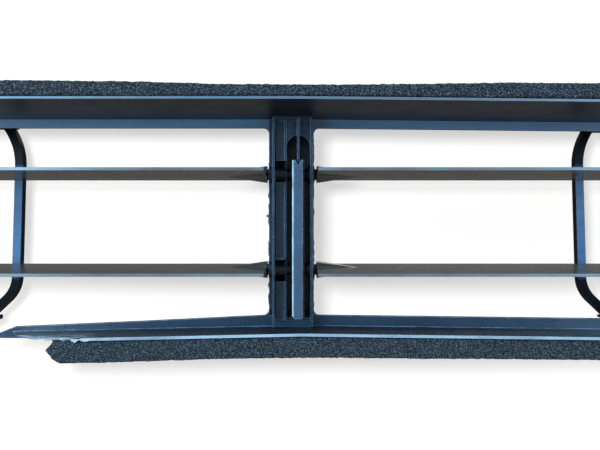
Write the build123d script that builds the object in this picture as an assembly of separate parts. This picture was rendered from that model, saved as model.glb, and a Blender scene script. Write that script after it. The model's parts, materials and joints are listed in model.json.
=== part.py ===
from build123d import *
from math import asin, atan2, cos, degrees, hypot, pi, radians, sin, tan
import os

# Radiator air shutter: a moulded frame with two pairs of turning vanes, a link bar
# in the centre post and an electric actuator on the right end post.
# Millimetres. X runs along the shutter, Y from front to back, Z up. Shapes are drawn
# with Y = 0 in the plane of the vane axes and Z = 0 midway between them, and are
# moved back to the mounting face when they are written.

# ---------------------------------------------------------------- driving dimensions
VANE_PITCH = 54.0            # distance between the upper and lower vane axes
VANE_CHORD = 56.0            # front edge to rear edge
VANE_EDGE = 1.6              # blade thickness at its edges
VANE_MIDDLE = 2.6            # blade thickness at its axis
POST_LEFT = -17.6            # centre post, left and right faces
POST_RIGHT = 7.8
END_PLATE = 296.0            # inner face of both end posts
PLATE_THICK = 4.0
MOUNT_FACE_Y = 39.0          # rear face of the mounting ears
EAR_X = 312.0                # mounting holes, from the middle
EAR_Z = 60.0
EAR_HOLE_R = 5.0
SLEEVE_BORE_R = 3.3
FRONT_Y = -43.0              # front lip of the top visor
REAR_Y = 38.0                # rear edge of both shelves

AXIS_Z = VANE_PITCH / 2
HALF_CHORD = VANE_CHORD / 2
VANE_INNER_GAP = 0.9
VANE_OUTER = END_PLATE - 2.2

# rails, heights at the middle of the shutter
WALL = 1.5
TOP_VISOR_WALL = 1.2
TOP_VISOR_Z = 58.4
TOP_FLANGE_Z = 53.6
TOP_FLANGE_Y = (0.4, 2.4)
SHELF_Z = 61.5
BOTTOM_VISOR_Z = -58.3
BOTTOM_FLANGE_Z = -52.4
BOTTOM_FLANGE_Y = (-2.4, -0.4)
BOTTOM_LIP_Y = -21.0
TOP_RIGHT_SAG = 0.6          # degrees that each half of a rail leans down
BOTTOM_RIGHT_SAG = 0.7
BOTTOM_LEFT_SAG = 1.2
SHELF_LEFT_SAG = 2.4
CORNER_R = 3.7

# foam strips
FOAM_GAP = 0.35
TOP_FOAM_Y = (-42.0, -20.0)
BOTTOM_FOAM_Y = (-20.0, -3.0)

# shaft line
HUB_R = 4.85
HUB_LENGTH = 24.0
JOURNAL_R = 3.1
BUSH_R = 5.0
RUNNING_GAP = 0.05
TONGUE = 3.4
TONGUE_GAP = 0.05
TONGUE_LENGTH = 7.5
CRANK_R = 8.8
CRANK_REST_DEG = 43.0        # below the forward direction, vanes open
CRANK_PIN_R = 1.5
CRANK_X = (-2.5, 0.5)
LOWER_PIN_GAP = 0.25         # the open pivot of the closed linkage

# link bar
BAR_X = (-4.2, 2.2)
BAR_WALL = 1.2
BAR_Y = (-16.0, -4.5)
BAR_Z = (-51.7, 33.1)
BAR_CHAMFER = 0.85

# support bows
BOW_LEFT_X = 180.0
BOW_RIGHT_X = 178.8
BOW_LEAN = 1.6               # degrees that a bow's lower end leans outwards
BOW_WIDTH = 3.9
BOW_Y = (30.0, 35.2)
BOW_FOOT = 1.6
BOW_TOP_R = 40.0
BOW_LOW_R = 20.0
BOW_STRAIGHT = (-35.0, 36.0)

# actuator
CASE_FLOOR = (300.0, 302.0)
CASE_RIM = 337.4
CASE_Y = 21.0
CASE_Z = (-34.0, 48.0)
CASE_WALL = 2.0
COVER_X = (338.0, 340.0)
OUTPUT_MODULE = 0.8
MIDDLE_MODULE = 0.6
MOTOR_MODULE = 0.5
OUTPUT_TEETH = 40
SMALL_TWO_TEETH = 12
LARGE_TEETH = 36
SMALL_ONE_TEETH = 10
PINION_TEETH = 10
PRESSURE_DEG = 20.0
BACKLASH = 0.12
PIN_R = 1.5
MOTOR_R = 8.4

GEAR_TWO_Z = AXIS_Z - OUTPUT_MODULE * (OUTPUT_TEETH + SMALL_TWO_TEETH) / 2
GEAR_ONE_Z = GEAR_TWO_Z - MIDDLE_MODULE * (LARGE_TEETH + SMALL_ONE_TEETH) / 2
MOTOR_Z = GEAR_ONE_Z - MOTOR_MODULE * (LARGE_TEETH + PINION_TEETH) / 2


# ---------------------------------------------------------------- drawing helpers
def block(x, y, z):
    """Box between two bounds on each axis."""
    size = (x[1] - x[0], y[1] - y[0], z[1] - z[0])
    return Pos(sum(x) / 2, sum(y) / 2, sum(z) / 2) * Box(*size)


def rod_x(x, y, z, radius):
    """Round bar along X."""
    return Pos(sum(x) / 2, y, z) * Rot(0, 90, 0) * Cylinder(radius, x[1] - x[0])


def rod_y(x, y, z, radius):
    """Round bar along Y."""
    return Pos(x, sum(y) / 2, z) * Rot(90, 0, 0) * Cylinder(radius, y[1] - y[0])


def rod_z(x, y, z, radius):
    """Round bar along Z."""
    return Pos(x, y, sum(z) / 2) * Cylinder(radius, z[1] - z[0])


def front_plane(y):
    """Drawing plane seen from the front: local x is X and local y is Z."""
    return Plane(origin=(0, y, 0), x_dir=(1, 0, 0), z_dir=(0, -1, 0))


def front_plate(points, y):
    """Plate with an outline in X and Z, between two depths."""
    return extrude(front_plane(y[1]) * Polygon(*points, align=None), amount=y[1] - y[0], dir=(0, -1, 0))


def side_plate(points, x):
    """Plate with an outline in Y and Z, between two places along the shutter."""
    plane = Plane(origin=(x[0], 0, 0), x_dir=(0, 1, 0), z_dir=(1, 0, 0))
    return extrude(plane * Polygon(*points, align=None), amount=x[1] - x[0], dir=(1, 0, 0))


def plan_plate(points, z):
    """Plate with an outline in X and Y, between two heights."""
    return extrude(Plane.XY.offset(z[0]) * Polygon(*points, align=None), amount=z[1] - z[0], dir=(0, 0, 1))


def lean(shape, angle):
    """Turn a rail half about the Y axis at the middle; positive drops its right end."""
    return Rot(0, angle, 0) * shape


def corner_web(x, z, x_way, z_way, y):
    """Rounded inside corner where a rail flange meets the centre post."""
    square = block(sorted((x, x + x_way * CORNER_R)), y, sorted((z, z + z_way * CORNER_R)))
    centre_x = x + x_way * CORNER_R
    centre_z = z + z_way * CORNER_R
    return square - rod_y(centre_x, (y[0] - 1, y[1] + 1), centre_z, CORNER_R)


def group(solids):
    """Several separate solids kept together in one node."""
    together = solids[0]
    for solid in solids[1:]:
        together += solid
    return together


# ---------------------------------------------------------------- rails
def rail_boss(side, z):
    """Screw boss at a rail's end, on the inner side of its shelf."""
    x = sorted((side * (END_PLATE - 16), side * (END_PLATE - 0.1)))
    boss = block(x, (8, 16), z)
    return boss - rod_x((x[0] - 1, x[1] + 1), 12, sum(z) / 2, 1.25)


def shelf_hole(x, z):
    """Clearance hole for the screw that holds a bow's foot."""
    return rod_z(x, sum(BOW_Y) / 2, (z - 5, z + 5), 1.7)


def top_rail():
    """Front visor, flange and rear shelf as one section, with the right half leaning down."""
    web_y = TOP_FLANGE_Y
    profile = [
        (FRONT_Y, TOP_VISOR_Z), (web_y[0], TOP_VISOR_Z), (web_y[0], TOP_FLANGE_Z),
        (web_y[1], TOP_FLANGE_Z), (web_y[1], SHELF_Z), (REAR_Y, SHELF_Z),
        (REAR_Y, SHELF_Z + WALL), (web_y[0], SHELF_Z + WALL),
        (web_y[0], TOP_VISOR_Z + TOP_VISOR_WALL), (FRONT_Y, TOP_VISOR_Z + TOP_VISOR_WALL),
    ]
    left = side_plate(profile, (-END_PLATE + 0.1, 2.0))
    right = lean(side_plate(profile, (-1.0, END_PLATE - 0.8)), TOP_RIGHT_SAG)
    rail = left + right
    rail += corner_web(POST_LEFT, TOP_FLANGE_Z + 0.1, -1, -1, web_y)
    rail += corner_web(POST_RIGHT, TOP_FLANGE_Z + 0.1, 1, -1, web_y)
    rail += rail_boss(-1, (55.5, SHELF_Z + 0.2))
    rail += rail_boss(1, (53.0, SHELF_Z - 2.0))
    for x in (-BOW_FOOT_TOP, BOW_FOOT_TOP):
        rail -= shelf_hole(x, SHELF_Z)
    for x in POST_SCREW_X:
        rail -= rod_y(x, (-1, 4), POST_SCREW_TOP, 1.6)
    return rail


def bottom_rail():
    """Visor, flange and rear shelf below the vanes; the left end is torn down to a strap."""
    low_y = BOTTOM_FLANGE_Y
    shelf = -SHELF_Z
    profile = [
        (BOTTOM_LIP_Y, BOTTOM_VISOR_Z - WALL), (BOTTOM_LIP_Y, BOTTOM_VISOR_Z),
        (low_y[0], BOTTOM_VISOR_Z), (low_y[0], BOTTOM_FLANGE_Z), (low_y[1], BOTTOM_FLANGE_Z),
        (low_y[1], shelf), (REAR_Y, shelf), (REAR_Y, shelf - WALL), (low_y[0], shelf - WALL),
        (low_y[0], BOTTOM_VISOR_Z - WALL),
    ]
    right = lean(side_plate(profile, (0, END_PLATE + 0.5)), BOTTOM_RIGHT_SAG)
    torn_lip = [
        (0.5, BOTTOM_LIP_Y), (-116, BOTTOM_LIP_Y), (-117.5, -19.2), (-121, -18.4), (-125, -19.4),
        (-129, -17.2), (-134, -17.9), (-139, -15.2), (-144, -15.8), (-149, -12.6),
        (-154, -11.8), (-159, -8.2), (-164, low_y[1]), (0.5, low_y[1]),
    ]
    visor = lean(plan_plate(torn_lip, (BOTTOM_VISOR_Z - WALL, BOTTOM_VISOR_Z)), -BOTTOM_LEFT_SAG)
    flange_outline = [
        (0.5, BOTTOM_FLANGE_Z), (POST_LEFT, BOTTOM_FLANGE_Z - 0.1), (-90, -56.0),
        (-150, -58.6), (-161, -59.0), (-170.5, -62.8), (-198, -61.4), (-END_PLATE + 0.1, -61.4),
        (-END_PLATE + 0.1, -64.0), (-198, -64.0), (-170, -65.4), (-141, -65.6), (-138, -69.0),
        (-60, -65.8), (0.5, shelf - WALL),
    ]
    flange = front_plate(flange_outline, low_y)
    inner_shelf = lean(block((-138, 0.5), (low_y[0], REAR_Y), (shelf - WALL, shelf)), -SHELF_LEFT_SAG)
    outer_shelf = block((-END_PLATE + 0.1, -194), (low_y[0], REAR_Y), (shelf - WALL, shelf))
    rail = right + visor + flange + inner_shelf + outer_shelf
    rail += corner_web(POST_LEFT, BOTTOM_FLANGE_Z - 0.4, -1, 1, low_y)
    rail += corner_web(POST_RIGHT, BOTTOM_FLANGE_Z - 0.4, 1, 1, low_y)
    rail += rail_boss(-1, (-SHELF_Z - 0.2, -55.5))
    rail += rail_boss(1, (-SHELF_Z - 4, -57.5))
    for x in (-BOW_FOOT_LOW, BOW_FOOT_LOW):
        rail -= shelf_hole(x, -SHELF_Z)
    for x in POST_SCREW_X:
        rail -= rod_y(x, (low_y[0] - 1, low_y[1] + 1), POST_SCREW_LOW, 1.6)
    return rail


# ---------------------------------------------------------------- centre post
POST_SCREW_X = (-11.2, 2.6)
POST_SCREW_TOP = 56.3
POST_SCREW_LOW = -55.6
POST_BACK_Y = 6.2
POST_FRONT_Y = -14.0
PANEL_Y = (-10.0, -8.8)
LEFT_WALL = (-15.0, -13.8)
POCKET_WALL = (-8.6, -7.4)
RIGHT_WALL = (5.6, 6.8)
PANEL_LEFT = -13.3
POST_Z = (-58.1, 58.2)
BARREL_R = 4.5
WINDOWS = ((21.7, 33.6), (-32.5, -19.6))
FRONT_TOP = 55.7
FRONT_BOTTOM = -53.6
ARCH_R = 6.5
ARCH_Z = 40.8


def guide_rib():
    """Thin tongue hanging from the arch; the forked top of the link bar runs round it."""
    points = [(-13.5, POST_Z[1]), (-13.5, 30.4), (-11.9, 30.4), (PANEL_Y[0], 36.0),
              (PANEL_Y[0], 48.5), (PANEL_Y[1], 48.5), (PANEL_Y[1], POST_Z[1])]
    return side_plate(points, (-1.6, -0.4))


def post_panels():
    """Front panels of the post's left half, with windows over the two bearing barrels."""
    panels = None
    x = (PANEL_LEFT, POCKET_WALL[0] + 0.1)
    for z in ((WINDOWS[0][1], POST_Z[1]), (WINDOWS[1][1], WINDOWS[0][0]), (POST_Z[0], WINDOWS[1][0])):
        panel = block(x, PANEL_Y, z)
        panels = panel if panels is None else panels + panel
    return panels + block(x, (-11.2, PANEL_Y[1]), (WINDOWS[1][1] - 1.0, WINDOWS[1][1]))


def arch_panel():
    """Panel above the link bar's pocket, cut by a round arch."""
    panel = block((POCKET_WALL[1] - 0.1, RIGHT_WALL[0] + 0.1), PANEL_Y, (ARCH_Z, POST_Z[1]))
    return panel - rod_y((POCKET_WALL[1] + RIGHT_WALL[0]) / 2, (-11, -8), ARCH_Z, ARCH_R)


def centre_post():
    """Hollow post with side walls, bearing barrels, an open pocket for the link bar."""
    post = block(LEFT_WALL, (POST_FRONT_Y, POST_BACK_Y), POST_Z)
    post += block(RIGHT_WALL, (-12.0, POST_BACK_Y), POST_Z)
    post += block((LEFT_WALL[0], RIGHT_WALL[1]), (4.8, POST_BACK_Y), POST_Z)
    post += block(POCKET_WALL, (PANEL_Y[0] - 0.7, 5.0), POST_Z)
    post += block((POST_LEFT, LEFT_WALL[0] + 0.1), (0, 1.8), POST_Z)
    post += block((RIGHT_WALL[1] - 0.1, POST_RIGHT), (0, 1.8), POST_Z)
    post += post_panels() + arch_panel() + guide_rib()
    for x in ((LEFT_WALL[1] - 0.1, POCKET_WALL[0] + 0.1), (POCKET_WALL[1] - 0.1, RIGHT_WALL[0] + 0.1)):
        post += block(x, (PANEL_Y[0] + 0.2, 5.0), (51.0, POST_Z[1]))
        post += block(x, (-7.5, 5.0), (POST_Z[0], -52.5))
    for z in WINDOWS:
        post -= block((POCKET_WALL[0] - 0.05, POCKET_WALL[1] + 0.1), (-12, -3.2), z)
    for z in (AXIS_Z, -AXIS_Z):
        post += rod_x((LEFT_WALL[1] - 0.1, POCKET_WALL[1]), 0, z, BARREL_R)
        post += rod_x((POST_LEFT, LEFT_WALL[0] + 0.1), 0, z, HUB_R)
        post += rod_x((4.4, POST_RIGHT), 0, z, HUB_R)
        post -= rod_x((POST_LEFT - 1, POST_RIGHT + 1), 0, z, JOURNAL_R + RUNNING_GAP)
    wide = (POST_LEFT - 1, POST_RIGHT + 1)
    post -= block(wide, (TOP_FLANGE_Y[0] - 0.1, TOP_FLANGE_Y[1] + 0.1), (TOP_FLANGE_Z - 0.1, 60))
    post -= block(wide, (BOTTOM_FLANGE_Y[0] - 0.1, BOTTOM_FLANGE_Y[1] + 0.1), (-60, BOTTOM_FLANGE_Z + 0.1))
    post -= block(wide, (-15, -7.5), (FRONT_TOP, 60))
    post -= block(wide, (-15, -7.5), (-60, FRONT_BOTTOM))
    for x in POST_SCREW_X:
        post -= rod_y(x, (-7.0, 3), POST_SCREW_TOP, 1.25)
        post -= rod_y(x, (TOP_FLANGE_Y[1], 7), POST_SCREW_TOP, 2.9)
        post -= rod_y(x, (-7.0, 0), POST_SCREW_LOW, 1.25)
        post -= rod_y(x, (BOTTOM_FLANGE_Y[1], 7), POST_SCREW_LOW, 2.9)
    return post


# ---------------------------------------------------------------- screws and sleeves
def screw_y(x, z, head_y, length):
    """Pan screw along Y with its head at the back."""
    shank = rod_y(x, (head_y - length, head_y), z, 1.2)
    return shank + rod_y(x, (head_y, head_y + 1.8), z, 2.6)


def screw_x(x, y, z, way, length):
    """Pan screw along X; way is the side that its head is on."""
    shank = rod_x(sorted((x, x - way * length)), y, z, 1.2)
    return shank + rod_x(sorted((x, x + way * 1.8)), y, z, 2.6)


def post_screws():
    """Four screws from behind, through both flanges into the post."""
    screws = []
    for x in POST_SCREW_X:
        screws.append(screw_y(x, POST_SCREW_TOP, TOP_FLANGE_Y[1] + 0.05, 8.5))
        screws.append(screw_y(x, POST_SCREW_LOW, BOTTOM_FLANGE_Y[1] + 0.05, 6.0))
    return group(screws)


def end_screws():
    """Four screws through the end plates into the rail bosses."""
    screws = []
    outer = END_PLATE + PLATE_THICK + 0.05
    for way, top, low in ((-1, 58.6, -58.6), (1, 56.25, -61.5)):
        for z in (top, low):
            screws.append(screw_x(way * outer, 12, z, way, 12.0))
    return group(screws)


def bow_screws():
    """Four screws through the rear shelves into the feet of the bows."""
    screws = []
    middle = sum(BOW_Y) / 2
    for way in (-1, 1):
        top = bow_seat_top(way) + WALL + 0.35
        low = -SHELF_Z - WALL - (0.15 if way < 0 else 2.9)
        screws.append(rod_z(way * BOW_FOOT_TOP, middle, (top - 3.6, top), 1.2)
                      + rod_z(way * BOW_FOOT_TOP, middle, (top, top + 1.8), 2.6))
        screws.append(rod_z(way * BOW_FOOT_LOW, middle, (low, low + 4.6), 1.2)
                      + rod_z(way * BOW_FOOT_LOW, middle, (low - 1.8, low), 2.6))
    return group(screws)


def limiter_sleeves():
    """Steel sleeves that take the clamp load in the four mounting ears."""
    sleeves = []
    for x in (-EAR_X, EAR_X):
        for z in (-EAR_Z, EAR_Z):
            y = (MOUNT_FACE_Y - 4.2, MOUNT_FACE_Y)
            sleeve = rod_y(x, y, z, EAR_HOLE_R - 0.02) - rod_y(x, (y[0] - 1, y[1] + 1), z, SLEEVE_BORE_R)
            sleeves.append(sleeve)
    return group(sleeves)


# ---------------------------------------------------------------- end posts and bushes
LUG_SCREWS = ((-25.5, -20.0), (-25.5, 34.0), (25.5, -20.0), (25.5, 34.0))


def end_post(way):
    """End plate with two bush seats, a rear rail and two mounting ears."""
    outer = END_PLATE + PLATE_THICK
    x = sorted((way * END_PLATE, way * outer))
    wide = (x[0] - 1, x[1] + 1)
    post = block(x, (-31.0, MOUNT_FACE_Y), (-66.5, 66.5))
    for y in (-24.0, 20.0):
        post -= block(wide, (y - 2, y + 10), (-8.0, 8.0))
    ear_x = sorted((way * (outer - 0.1), way * (outer + 24)))
    ear_y = (MOUNT_FACE_Y - 4, MOUNT_FACE_Y)
    post += block(ear_x, ear_y, (50, 70))
    post += block(ear_x, ear_y, (-70, -50))
    for z in (AXIS_Z, -AXIS_Z):
        post -= rod_x(wide, 0, z, BUSH_R)
    for z in (EAR_Z, -EAR_Z):
        post -= rod_y(way * EAR_X, (MOUNT_FACE_Y - 5, MOUNT_FACE_Y + 1), z, EAR_HOLE_R)
    for z in ((58.6, -58.6) if way < 0 else (56.25, -61.5)):
        post -= rod_x(wide, 12, z, 1.6)
    if way > 0:
        for y, z in LUG_SCREWS:
            post -= rod_x(wide, y, z, 1.25)
    return post


def vane_bushes():
    """Flanged plain bushes for the outer journals of the four vanes."""
    bushes = []
    for way in (-1, 1):
        for z in (AXIS_Z, -AXIS_Z):
            sleeve = rod_x(sorted((way * (END_PLATE - 0.05), way * (END_PLATE + 3.9))), 0, z, BUSH_R - 0.02)
            collar = rod_x(sorted((way * (END_PLATE - 1.6), way * (END_PLATE - 0.05))), 0, z, 6.6)
            bore = rod_x(sorted((way * 290, way * 305)), 0, z, JOURNAL_R + RUNNING_GAP)
            bushes.append(sleeve + collar - bore)
    return group(bushes)


# ---------------------------------------------------------------- support bows
BOW_FOOT_TOP = 189.0
BOW_FOOT_LOW = 200.5


def support_bow(way):
    """Square bar behind the vanes: a straight middle, a wide bend above, a 45 degree leg below."""
    middle_x = BOW_RIGHT_X if way > 0 else BOW_LEFT_X
    low, high = BOW_STRAIGHT
    slant = BOW_LOW_R * sin(radians(45))
    knee_x = middle_x + BOW_LOW_R - slant
    knee_z = low - slant
    top = bow_seat_top(way)
    bottom = -SHELF_Z + 0.1
    top_angle = degrees(asin((top + 1.0 - high) / BOW_TOP_R))
    path = [
        Line((knee_x + knee_z - bottom + 2.0, bottom - 2.0), (knee_x, knee_z)),
        CenterArc((middle_x + BOW_LOW_R, low), BOW_LOW_R, 225, -45),
        Line((middle_x, low), (middle_x, high)),
        CenterArc((middle_x + BOW_TOP_R, high), BOW_TOP_R, 180, -top_angle),
    ]
    section = Plane(origin=(path[0] @ 0), z_dir=(path[0] % 0)) * Rectangle(BOW_Y[1] - BOW_Y[0], BOW_WIDTH)
    bar = front_plane(sum(BOW_Y) / 2) * sweep(section, path=Wire(path))
    bar = Pos(middle_x, 0, 0) * lean(Pos(-middle_x, 0, 0) * bar, -BOW_LEAN)
    reach = (middle_x - 5, 240)
    bar -= block(reach, (20, 45), (top, 80))
    bar -= block(reach, (20, 45), (-90, bottom))
    foot_y = (BOW_Y[0] - 0.5, BOW_Y[1] + 0.5)
    bow = bar + block((BOW_FOOT_TOP - 7, BOW_FOOT_TOP + 6), foot_y, (top - BOW_FOOT, top))
    bow += block((BOW_FOOT_LOW - 8, BOW_FOOT_LOW + 5), foot_y, (bottom, bottom + BOW_FOOT))
    bow -= rod_z(BOW_FOOT_TOP, sum(BOW_Y) / 2, (40, 70), 1.25)
    bow -= rod_z(BOW_FOOT_LOW, sum(BOW_Y) / 2, (-70, -50), 1.25)
    return bow if way > 0 else mirror(bow, Plane.YZ)


def bow_seat_top(way):
    """Height of a bow's upper foot, just below the shelf; the right half of the rail leans down."""
    lean_fall = (BOW_FOOT_TOP + 6) * tan(radians(TOP_RIGHT_SAG)) if way > 0 else 0.0
    return SHELF_Z - 0.15 - lean_fall


# ---------------------------------------------------------------- foam strips
def foam_seal_top():
    """Foam strip lying on the front of the top visor."""
    base = TOP_VISOR_Z + TOP_VISOR_WALL + FOAM_GAP
    fall = tan(radians(TOP_RIGHT_SAG))
    outline = [
        (-290, base), (0, base), (290, base - 290 * fall), (290, base + 7.9 - 290 * fall),
        (142, base + 6.2), (100, base + 6.6), (64, base + 6.0), (18, base + 5.4), (0, base + 5.1),
        (-39, base + 5.8), (-62, base + 6.4), (-85, base + 7.2), (-130, base + 7.8), (-290, base + 8.3),
    ]
    return front_plate(outline, TOP_FOAM_Y)


def foam_seal_bottom():
    """Foam strip under the bottom visor; its left end is cut at a slant."""
    base = BOTTOM_VISOR_Z - WALL - FOAM_GAP
    left_fall = tan(radians(BOTTOM_LEFT_SAG))
    right_fall = tan(radians(BOTTOM_RIGHT_SAG))
    outline = [
        (0, base), (-130, base - 130 * left_fall), (-130.0, base - 5.4), (-133.7, base - 7.5),
        (-129.5, base - 11.6), (-126, base - 14.3), (-43, base - 11.5), (0, base - 10.9),
        (20, base - 10.9), (160, base - 12.2), (288, base - 13.4), (288, base - 288 * right_fall),
    ]
    return front_plate(outline, BOTTOM_FOAM_Y)


# ---------------------------------------------------------------- vanes
def vane(way, z, socket_end):
    """Lens-shaped blade with a conical hub at each end and an outer journal."""
    inner = (POST_LEFT - VANE_INNER_GAP) if way < 0 else (POST_RIGHT + VANE_INNER_GAP + 0.7)
    outer = way * VANE_OUTER
    start, stop = sorted((inner, outer))
    half = VANE_EDGE / 2
    upper = ThreePointArc((-HALF_CHORD, half), (0, VANE_MIDDLE / 2), (HALF_CHORD, half))
    rear = Line((HALF_CHORD, half), (HALF_CHORD, -half))
    lower = ThreePointArc((HALF_CHORD, -half), (0, -VANE_MIDDLE / 2), (-HALF_CHORD, -half))
    front = Line((-HALF_CHORD, -half), (-HALF_CHORD, half))
    plane = Plane(origin=(start, 0, z), x_dir=(0, 1, 0), z_dir=(1, 0, 0))
    blade = extrude(plane * make_face([upper, rear, lower, front]), amount=stop - start, dir=(1, 0, 0))
    blade += Pos(start + HUB_LENGTH / 2, 0, z) * Rot(0, 90, 0) * Cone(HUB_R, VANE_MIDDLE / 2, HUB_LENGTH)
    blade += Pos(stop - HUB_LENGTH / 2, 0, z) * Rot(0, 90, 0) * Cone(VANE_MIDDLE / 2, HUB_R, HUB_LENGTH)
    blade += rod_x(sorted((outer - way, outer + way * 5.9)), 0, z, JOURNAL_R)
    socket = TONGUE / 2 + TONGUE_GAP
    seat = sorted((inner - way, inner + way * (TONGUE_LENGTH + 0.5)))
    blade -= block(seat, (-socket, socket), (z - socket, z + socket))
    if socket_end:
        seat = sorted((outer - way * 3, outer + way * 7))
        blade -= block(seat, (-socket, socket), (z - socket, z + socket))
    return blade


def crank_pin(z):
    """Place of a crank's pin when the vanes are open."""
    turn = radians(CRANK_REST_DEG)
    return -CRANK_R * cos(turn), z - CRANK_R * sin(turn)


def crank_shaft(z):
    """Shaft across the centre post with a crank, its pin and a square tongue at each end."""
    left = POST_LEFT - VANE_INNER_GAP + 0.1
    right = POST_RIGHT + VANE_INNER_GAP + 0.6
    shaft = rod_x((left, right), 0, z, JOURNAL_R)
    half = TONGUE / 2
    shaft += block((left - TONGUE_LENGTH, right + TONGUE_LENGTH), (-half, half), (z - half, z + half))
    pin_y, pin_z = crank_pin(z)
    shaft += rod_x(CRANK_X, 0, z, 4.4)
    shaft += rod_x(CRANK_X, pin_y, pin_z, 2.4)
    turn = degrees(atan2(pin_z - z, pin_y))
    length = hypot(pin_y, pin_z - z)
    arm = Pos(sum(CRANK_X) / 2, pin_y / 2, (pin_z + z) / 2) * Rot(turn, 0, 0) * Box(
        CRANK_X[1] - CRANK_X[0], length, 4.4)
    shaft += arm
    shaft += rod_x((BAR_X[0] + 0.1, BAR_X[1] - 0.1), pin_y, pin_z, CRANK_PIN_R)
    return shaft


def link_bar():
    """Channel bar joining both cranks, with a notched top that straddles the guide rib."""
    bar = block(BAR_X, BAR_Y, BAR_Z)
    inside = (BAR_X[0] + BAR_WALL, BAR_X[1] - BAR_WALL)
    bar -= block(inside, (BAR_Y[0] + BAR_WALL + 0.2, BAR_Y[1] + 1), (BAR_Z[0] - 1, BAR_Z[1] + 1))
    middle = sum(BAR_X) / 2
    notch = [(middle - 1.6, BAR_Z[1] + 0.1), (middle + 1.6, BAR_Z[1] + 0.1), (middle, BAR_Z[1] - 3.2)]
    bar -= front_plate(notch, (BAR_Y[0] - 1, BAR_Y[0] + 3))
    chamfer = BAR_CHAMFER * 2 ** 0.5
    for x, way in ((BAR_X[0], 1), (BAR_X[1], -1)):
        bar -= Pos(x, BAR_Y[0], sum(BAR_Z) / 2) * Rot(0, 0, 45) * Box(chamfer, chamfer, 100)
        foot = [(x - way * 0.1, BAR_Z[0] - 0.1), (x + way * 1.6, BAR_Z[0] - 0.1), (x - way * 0.1, BAR_Z[0] + 1.6)]
        bar -= front_plate(foot, (BAR_Y[0] - 1, BAR_Y[1] + 1))
    for z, gap in ((AXIS_Z, RUNNING_GAP), (-AXIS_Z, LOWER_PIN_GAP)):
        pin_y, pin_z = crank_pin(z)
        bar -= rod_x((BAR_X[0] - 1, BAR_X[1] + 1), pin_y, pin_z, CRANK_PIN_R + gap)
    return bar


# ---------------------------------------------------------------- gears
def involute(base_r, r):
    """Angle turned by an involute when it reaches radius r."""
    ratio = max(r / base_r, 1.0)
    run = (ratio * ratio - 1) ** 0.5
    return run - atan2(run, 1)


def gear_outline(module, teeth, first_tooth_deg):
    """Points of a spur gear with involute flanks; one tooth stands at first_tooth_deg."""
    pitch_r = module * teeth / 2
    base_r = pitch_r * cos(radians(PRESSURE_DEG))
    tip_r = pitch_r + module * 0.95
    root_r = pitch_r - module * 1.25
    half_tooth = pi / (2 * teeth) - BACKLASH / (2 * pitch_r)
    at_pitch = involute(base_r, pitch_r)
    radii = [root_r] + [max(base_r, root_r) + (tip_r - max(base_r, root_r)) * k / 4 for k in range(5)]
    points = []
    for tooth in range(teeth):
        middle = radians(first_tooth_deg) + 2 * pi * tooth / teeth
        flank = [(r, half_tooth + at_pitch - involute(base_r, r)) for r in radii]
        points += [(r * cos(middle - a), r * sin(middle - a)) for r, a in flank]
        points += [(r * cos(middle + a), r * sin(middle + a)) for r, a in reversed(flank)]
    return points


def gear(module, teeth, x, z, first_tooth_deg):
    """Spur gear on an axis along X."""
    plane = Plane(origin=(x[0], 0, z), x_dir=(0, 1, 0), z_dir=(1, 0, 0))
    outline = gear_outline(module, teeth, first_tooth_deg)
    return extrude(plane * Polygon(*outline, align=None), amount=x[1] - x[0], dir=(1, 0, 0))


def gap_angle(teeth, towards_deg):
    """First-tooth angle that puts a gap, not a tooth, at towards_deg."""
    return towards_deg + 180.0 / teeth


DOWN = -90.0
UP = 90.0


def output_gear():
    """Large gear with its bearing shaft, the tongue that turns the upper right vane and a stub."""
    body = gear(OUTPUT_MODULE, OUTPUT_TEETH, (305.0, 309.0), AXIS_Z, DOWN)
    body += rod_x((300.4, 305.1), 0, AXIS_Z, 5.0)
    body += rod_x((308.9, 314.0), 0, AXIS_Z, 3.0)
    half = TONGUE / 2
    body += block((292.5, 301.0), (-half, half), (AXIS_Z - half, AXIS_Z + half))
    for k in range(6):
        turn = radians(30 + 60 * k)
        body -= rod_x((304, 310), 10 * cos(turn), AXIS_Z + 10 * sin(turn), 2.6)
    return body


def compound_gear_two():
    """Gear that drives the output gear with its small teeth."""
    small = gear(OUTPUT_MODULE, SMALL_TWO_TEETH, (304.6, 309.5), GEAR_TWO_Z, gap_angle(SMALL_TWO_TEETH, UP))
    large = gear(MIDDLE_MODULE, LARGE_TEETH, (309.4, 312.4), GEAR_TWO_Z, DOWN)
    return small + large - rod_x((300, 320), 0, GEAR_TWO_Z, PIN_R + RUNNING_GAP)


def compound_gear_one():
    """Gear between the motor pinion and the second gear."""
    small = gear(MIDDLE_MODULE, SMALL_ONE_TEETH, (309.2, 312.9), GEAR_ONE_Z, gap_angle(SMALL_ONE_TEETH, UP))
    large = gear(MOTOR_MODULE, LARGE_TEETH, (312.8, 315.8), GEAR_ONE_Z, DOWN)
    spacer = rod_x((302.4, 309.3), 0, GEAR_ONE_Z, 2.4)
    return small + large + spacer - rod_x((300, 320), 0, GEAR_ONE_Z, PIN_R + RUNNING_GAP)


def motor_pinion():
    """Pinion and motor shaft."""
    body = gear(MOTOR_MODULE, PINION_TEETH, (312.6, 316.2), MOTOR_Z, gap_angle(PINION_TEETH, UP))
    return body + rod_x((312.6, 326.0), 0, MOTOR_Z, 1.0)


# ---------------------------------------------------------------- actuator
COVER_SCREWS = ((-17.6, -30.6), (17.6, -30.6), (-17.6, 44.6), (17.6, 44.6))


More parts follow.
